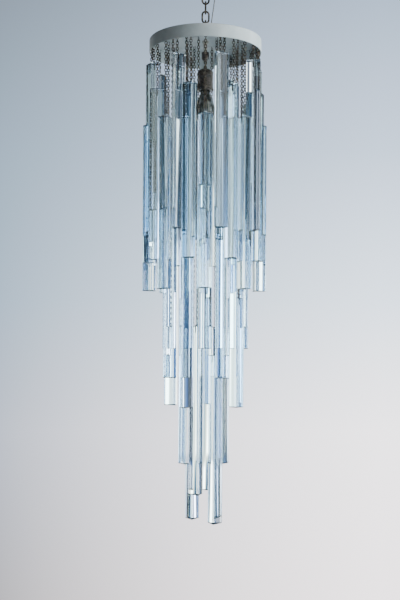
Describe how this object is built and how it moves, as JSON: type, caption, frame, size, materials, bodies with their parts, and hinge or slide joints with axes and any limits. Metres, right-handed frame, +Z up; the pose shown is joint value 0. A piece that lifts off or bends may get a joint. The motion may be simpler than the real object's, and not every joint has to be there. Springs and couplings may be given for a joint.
{
  "type": "cascade chandelier",
  "caption": "Hanging cascade lamp: a round pan on a link chain, with three stepped rings of triangular glass prisms on fine chains round a bulb.",
  "frame": {"origin": "inside of the top suspension link's crown, where the ceiling hook bears, on the lamp's centre line", "axes": "+Z up along the lamp's centre line; -Y is the front; prisms are counted from the front towards +X"},
  "size_m": [0.3095, 0.3098, 1.323],
  "materials": {
    "white_lacquer": "matt, aged",
    "dark_steel": "aged bronze tone",
    "fine_chain": "tarnished",
    "pale_blue_glass": "clear, polished",
    "brown_bakelite": "satin",
    "ceramic": "glazed",
    "nickel": "dull plate",
    "bulb_glass": "mirrored inside",
    "grey_flex": "matt"
  },
  "bodies": {
    "top_link": {"suspension_link_3": "dark_steel"},
    "middle_link": {"suspension_link_2": "dark_steel"},
    "lower_link": {"suspension_link_1": "dark_steel"},
    "pan": {"suspension_eye": "dark_steel", "canopy_pan": "white_lacquer", "pan_washer": "nickel", "threaded_nipple": "nickel", "lower_lock_nut": "nickel", "supply_cable": "grey_flex", "cord_grip": "brown_bakelite", "lampholder_cap": "brown_bakelite", "lampholder_shell": "brown_bakelite", "lampholder_insert": "ceramic", "bulb_screw_cap": "nickel", "bulb_envelope": "bulb_glass", "outer_hanger_and_chains": "fine_chain", "middle_hanger_and_chains": "fine_chain", "inner_hanger_and_chains": "fine_chain"},
    "outer_prism_01": {"outer_prism_01": "pale_blue_glass"},
    "outer_prism_02": {"outer_prism_02": "pale_blue_glass"},
    "outer_prism_03": {"outer_prism_03": "pale_blue_glass"},
    "outer_prism_04": {"outer_prism_04": "pale_blue_glass"},
    "outer_prism_05": {"outer_prism_05": "pale_blue_glass"},
    "outer_prism_06": {"outer_prism_06": "pale_blue_glass"},
    "outer_prism_07": {"outer_prism_07": "pale_blue_glass"},
    "outer_prism_08": {"outer_prism_08": "pale_blue_glass"},
    "outer_prism_09": {"outer_prism_09": "pale_blue_glass"},
    "outer_prism_10": {"outer_prism_10": "pale_blue_glass"},
    "outer_prism_11": {"outer_prism_11": "pale_blue_glass"},
    "outer_prism_12": {"outer_prism_12": "pale_blue_glass"},
    "outer_prism_13": {"outer_prism_13": "pale_blue_glass"},
    "outer_prism_14": {"outer_prism_14": "pale_blue_glass"},
    "outer_prism_15": {"outer_prism_15": "pale_blue_glass"},
    "outer_prism_16": {"outer_prism_16": "pale_blue_glass"},
    "outer_prism_17": {"outer_prism_17": "pale_blue_glass"},
    "outer_prism_18": {"outer_prism_18": "pale_blue_glass"},
    "outer_prism_19": {"outer_prism_19": "pale_blue_glass"},
    "outer_prism_20": {"outer_prism_20": "pale_blue_glass"},
    "outer_prism_21": {"outer_prism_21": "pale_blue_glass"},
    "outer_prism_22": {"outer_prism_22": "pale_blue_glass"},
    "outer_prism_23": {"outer_prism_23": "pale_blue_glass"},
    "outer_prism_24": {"outer_prism_24": "pale_blue_glass"},
    "middle_prism_01": {"middle_prism_01": "pale_blue_glass"},
    "middle_prism_02": {"middle_prism_02": "pale_blue_glass"},
    "middle_prism_03": {"middle_prism_03": "pale_blue_glass"},
    "middle_prism_04": {"middle_prism_04": "pale_blue_glass"},
    "middle_prism_05": {"middle_prism_05": "pale_blue_glass"},
    "middle_prism_06": {"middle_prism_06": "pale_blue_glass"},
    "middle_prism_07": {"middle_prism_07": "pale_blue_glass"},
    "middle_prism_08": {"middle_prism_08": "pale_blue_glass"},
    "middle_prism_09": {"middle_prism_09": "pale_blue_glass"},
    "middle_prism_10": {"middle_prism_10": "pale_blue_glass"},
    "middle_prism_11": {"middle_prism_11": "pale_blue_glass"},
    "middle_prism_12": {"middle_prism_12": "pale_blue_glass"},
    "inner_prism_01": {"inner_prism_01": "pale_blue_glass"},
    "inner_prism_02": {"inner_prism_02": "pale_blue_glass"},
    "inner_prism_03": {"inner_prism_03": "pale_blue_glass"},
    "inner_prism_04": {"inner_prism_04": "pale_blue_glass"},
    "inner_prism_05": {"inner_prism_05": "pale_blue_glass"},
    "inner_prism_06": {"inner_prism_06": "pale_blue_glass"}
  },
  "joints": [
    {"name": "middle_link_swing", "type": "hinge", "parent": "top_link", "child": "middle_link", "pos_m": [0, 0, -0.02625], "axis": [1, 0, 0], "range_deg": [-10, 10]},
    {"name": "lower_link_swing", "type": "hinge", "parent": "middle_link", "child": "lower_link", "pos_m": [0, 0, -0.04985], "axis": [0, 1, 0], "range_deg": [-10, 10]},
    {"name": "pan_swing", "type": "hinge", "parent": "lower_link", "child": "pan", "pos_m": [0, 0, -0.07345], "axis": [1, 0, 0], "range_deg": [-10, 10]},
    {"name": "outer_prism_01_swing", "type": "hinge", "parent": "pan", "child": "outer_prism_01", "pos_m": [0, -0.1345, -0.3211], "axis": [-1, 0, 0], "range_deg": [-1, 12]},
    {"name": "outer_prism_02_swing", "type": "hinge", "parent": "pan", "child": "outer_prism_02", "pos_m": [0.03481, -0.12992, -0.1775], "axis": [-0.9659, -0.2588, 0], "range_deg": [-1, 12]},
    {"name": "outer_prism_03_swing", "type": "hinge", "parent": "pan", "child": "outer_prism_03", "pos_m": [0.06725, -0.11648, -0.2493], "axis": [-0.866, -0.5, 0], "range_deg": [-1, 12]},
    {"name": "outer_prism_04_swing", "type": "hinge", "parent": "pan", "child": "outer_prism_04", "pos_m": [0.09511, -0.09511, -0.3211], "axis": [-0.7071, -0.7071, 0], "range_deg": [-1, 12]},
    {"name": "outer_prism_05_swing", "type": "hinge", "parent": "pan", "child": "outer_prism_05", "pos_m": [0.11648, -0.06725, -0.1775], "axis": [-0.5, -0.866, 0], "range_deg": [-1, 12]},
    {"name": "outer_prism_06_swing", "type": "hinge", "parent": "pan", "child": "outer_prism_06", "pos_m": [0.12992, -0.03481, -0.2493], "axis": [-0.2588, -0.9659, 0], "range_deg": [-1, 12]},
    {"name": "outer_prism_07_swing", "type": "hinge", "parent": "pan", "child": "outer_prism_07", "pos_m": [0.1345, 0, -0.3211], "axis": [0, -1, 0], "range_deg": [-1, 12]},
    {"name": "outer_prism_08_swing", "type": "hinge", "parent": "pan", "child": "outer_prism_08", "pos_m": [0.12992, 0.03481, -0.1775], "axis": [0.2588, -0.9659, 0], "range_deg": [-1, 12]},
    {"name": "outer_prism_09_swing", "type": "hinge", "parent": "pan", "child": "outer_prism_09", "pos_m": [0.11648, 0.06725, -0.2493], "axis": [0.5, -0.866, 0], "range_deg": [-1, 12]},
    {"name": "outer_prism_10_swing", "type": "hinge", "parent": "pan", "child": "outer_prism_10", "pos_m": [0.09511, 0.09511, -0.3211], "axis": [0.7071, -0.7071, 0], "range_deg": [-1, 12]},
    {"name": "outer_prism_11_swing", "type": "hinge", "parent": "pan", "child": "outer_prism_11", "pos_m": [0.06725, 0.11648, -0.1775], "axis": [0.866, -0.5, 0], "range_deg": [-1, 12]},
    {"name": "outer_prism_12_swing", "type": "hinge", "parent": "pan", "child": "outer_prism_12", "pos_m": [0.03481, 0.12992, -0.2493], "axis": [0.9659, -0.2588, 0], "range_deg": [-1, 12]},
    {"name": "outer_prism_13_swing", "type": "hinge", "parent": "pan", "child": "outer_prism_13", "pos_m": [0, 0.1345, -0.3211], "axis": [1, 0, 0], "range_deg": [-1, 12]},
    {"name": "outer_prism_14_swing", "type": "hinge", "parent": "pan", "child": "outer_prism_14", "pos_m": [-0.03481, 0.12992, -0.1775], "axis": [0.9659, 0.2588, 0], "range_deg": [-1, 12]},
    {"name": "outer_prism_15_swing", "type": "hinge", "parent": "pan", "child": "outer_prism_15", "pos_m": [-0.06725, 0.11648, -0.2493], "axis": [0.866, 0.5, 0], "range_deg": [-1, 12]},
    {"name": "outer_prism_16_swing", "type": "hinge", "parent": "pan", "child": "outer_prism_16", "pos_m": [-0.09511, 0.09511, -0.3211], "axis": [0.7071, 0.7071, 0], "range_deg": [-1, 12]},
    {"name": "outer_prism_17_swing", "type": "hinge", "parent": "pan", "child": "outer_prism_17", "pos_m": [-0.11648, 0.06725, -0.1775], "axis": [0.5, 0.866, 0], "range_deg": [-1, 12]},
    {"name": "outer_prism_18_swing", "type": "hinge", "parent": "pan", "child": "outer_prism_18", "pos_m": [-0.12992, 0.03481, -0.2493], "axis": [0.2588, 0.9659, 0], "range_deg": [-1, 12]},
    {"name": "outer_prism_19_swing", "type": "hinge", "parent": "pan", "child": "outer_prism_19", "pos_m": [-0.1345, 0, -0.3211], "axis": [0, 1, 0], "range_deg": [-1, 12]},
    {"name": "outer_prism_20_swing", "type": "hinge", "parent": "pan", "child": "outer_prism_20", "pos_m": [-0.12992, -0.03481, -0.1775], "axis": [-0.2588, 0.9659, 0], "range_deg": [-1, 12]},
    {"name": "outer_prism_21_swing", "type": "hinge", "parent": "pan", "child": "outer_prism_21", "pos_m": [-0.11648, -0.06725, -0.2493], "axis": [-0.5, 0.866, 0], "range_deg": [-1, 12]},
    {"name": "outer_prism_22_swing", "type": "hinge", "parent": "pan", "child": "outer_prism_22", "pos_m": [-0.09511, -0.09511, -0.3211], "axis": [-0.7071, 0.7071, 0], "range_deg": [-1, 12]},
    {"name": "outer_prism_23_swing", "type": "hinge", "parent": "pan", "child": "outer_prism_23", "pos_m": [-0.06725, -0.11648, -0.1775], "axis": [-0.866, 0.5, 0], "range_deg": [-1, 12]},
    {"name": "outer_prism_24_swing", "type": "hinge", "parent": "pan", "child": "outer_prism_24", "pos_m": [-0.03481, -0.12992, -0.2493], "axis": [-0.9659, 0.2588, 0], "range_deg": [-1, 12]},
    {"name": "middle_prism_01_swing", "type": "hinge", "parent": "pan", "child": "middle_prism_01", "pos_m": [0, -0.092, -0.4647], "axis": [-1, 0, 0], "range_deg": [-1, 2]},
    {"name": "middle_prism_02_swing", "type": "hinge", "parent": "pan", "child": "middle_prism_02", "pos_m": [0.046, -0.07967, -0.5365], "axis": [-0.866, -0.5, 0], "range_deg": [-1, 4]},
    {"name": "middle_prism_03_swing", "type": "hinge", "parent": "pan", "child": "middle_prism_03", "pos_m": [0.07967, -0.046, -0.6083], "axis": [-0.5, -0.866, 0], "range_deg": [-1, 12]},
    {"name": "middle_prism_04_swing", "type": "hinge", "parent": "pan", "child": "middle_prism_04", "pos_m": [0.092, 0, -0.4647], "axis": [0, -1, 0], "range_deg": [-1, 2]},
    {"name": "middle_prism_05_swing", "type": "hinge", "parent": "pan", "child": "middle_prism_05", "pos_m": [0.07967, 0.046, -0.5365], "axis": [0.5, -0.866, 0], "range_deg": [-1, 4]},
    {"name": "middle_prism_06_swing", "type": "hinge", "parent": "pan", "child": "middle_prism_06", "pos_m": [0.046, 0.07967, -0.6083], "axis": [0.866, -0.5, 0], "range_deg": [-1, 12]},
    {"name": "middle_prism_07_swing", "type": "hinge", "parent": "pan", "child": "middle_prism_07", "pos_m": [0, 0.092, -0.4647], "axis": [1, 0, 0], "range_deg": [-1, 2]},
    {"name": "middle_prism_08_swing", "type": "hinge", "parent": "pan", "child": "middle_prism_08", "pos_m": [-0.046, 0.07967, -0.5365], "axis": [0.866, 0.5, 0], "range_deg": [-1, 4]},
    {"name": "middle_prism_09_swing", "type": "hinge", "parent": "pan", "child": "middle_prism_09", "pos_m": [-0.07967, 0.046, -0.6083], "axis": [0.5, 0.866, 0], "range_deg": [-1, 12]},
    {"name": "middle_prism_10_swing", "type": "hinge", "parent": "pan", "child": "middle_prism_10", "pos_m": [-0.092, 0, -0.4647], "axis": [0, 1, 0], "range_deg": [-1, 2]},
    {"name": "middle_prism_11_swing", "type": "hinge", "parent": "pan", "child": "middle_prism_11", "pos_m": [-0.07967, -0.046, -0.5365], "axis": [-0.5, 0.866, 0], "range_deg": [-1, 4]},
    {"name": "middle_prism_12_swing", "type": "hinge", "parent": "pan", "child": "middle_prism_12", "pos_m": [-0.046, -0.07967, -0.6083], "axis": [-0.866, 0.5, 0], "range_deg": [-1, 12]},
    {"name": "inner_prism_01_swing", "type": "hinge", "parent": "pan", "child": "inner_prism_01", "pos_m": [-0.04456, -0.00626, -0.7519], "axis": [-0.1392, 0.9903, 0], "range_deg": [-1, 3]},
    {"name": "inner_prism_02_swing", "type": "hinge", "parent": "pan", "child": "inner_prism_02", "pos_m": [-0.01686, -0.04172, -0.8237], "axis": [-0.9272, 0.3746, 0], "range_deg": [-1, 2.5]},
    {"name": "inner_prism_03_swing", "type": "hinge", "parent": "pan", "child": "inner_prism_03", "pos_m": [0.02771, -0.03546, -0.8955], "axis": [-0.788, -0.6157, 0], "range_deg": [-1, 12]},
    {"name": "inner_prism_04_swing", "type": "hinge", "parent": "pan", "child": "inner_prism_04", "pos_m": [0.04456, 0.00626, -0.7519], "axis": [0.1392, -0.9903, 0], "range_deg": [-1, 3]},
    {"name": "inner_prism_05_swing", "type": "hinge", "parent": "pan", "child": "inner_prism_05", "pos_m": [0.01686, 0.04172, -0.8237], "axis": [0.9272, -0.3746, 0], "range_deg": [-1, 2.5]},
    {"name": "inner_prism_06_swing", "type": "hinge", "parent": "pan", "child": "inner_prism_06", "pos_m": [-0.02771, 0.03546, -0.8955], "axis": [0.788, 0.6157, 0], "range_deg": [-1, 12]}
  ]
}
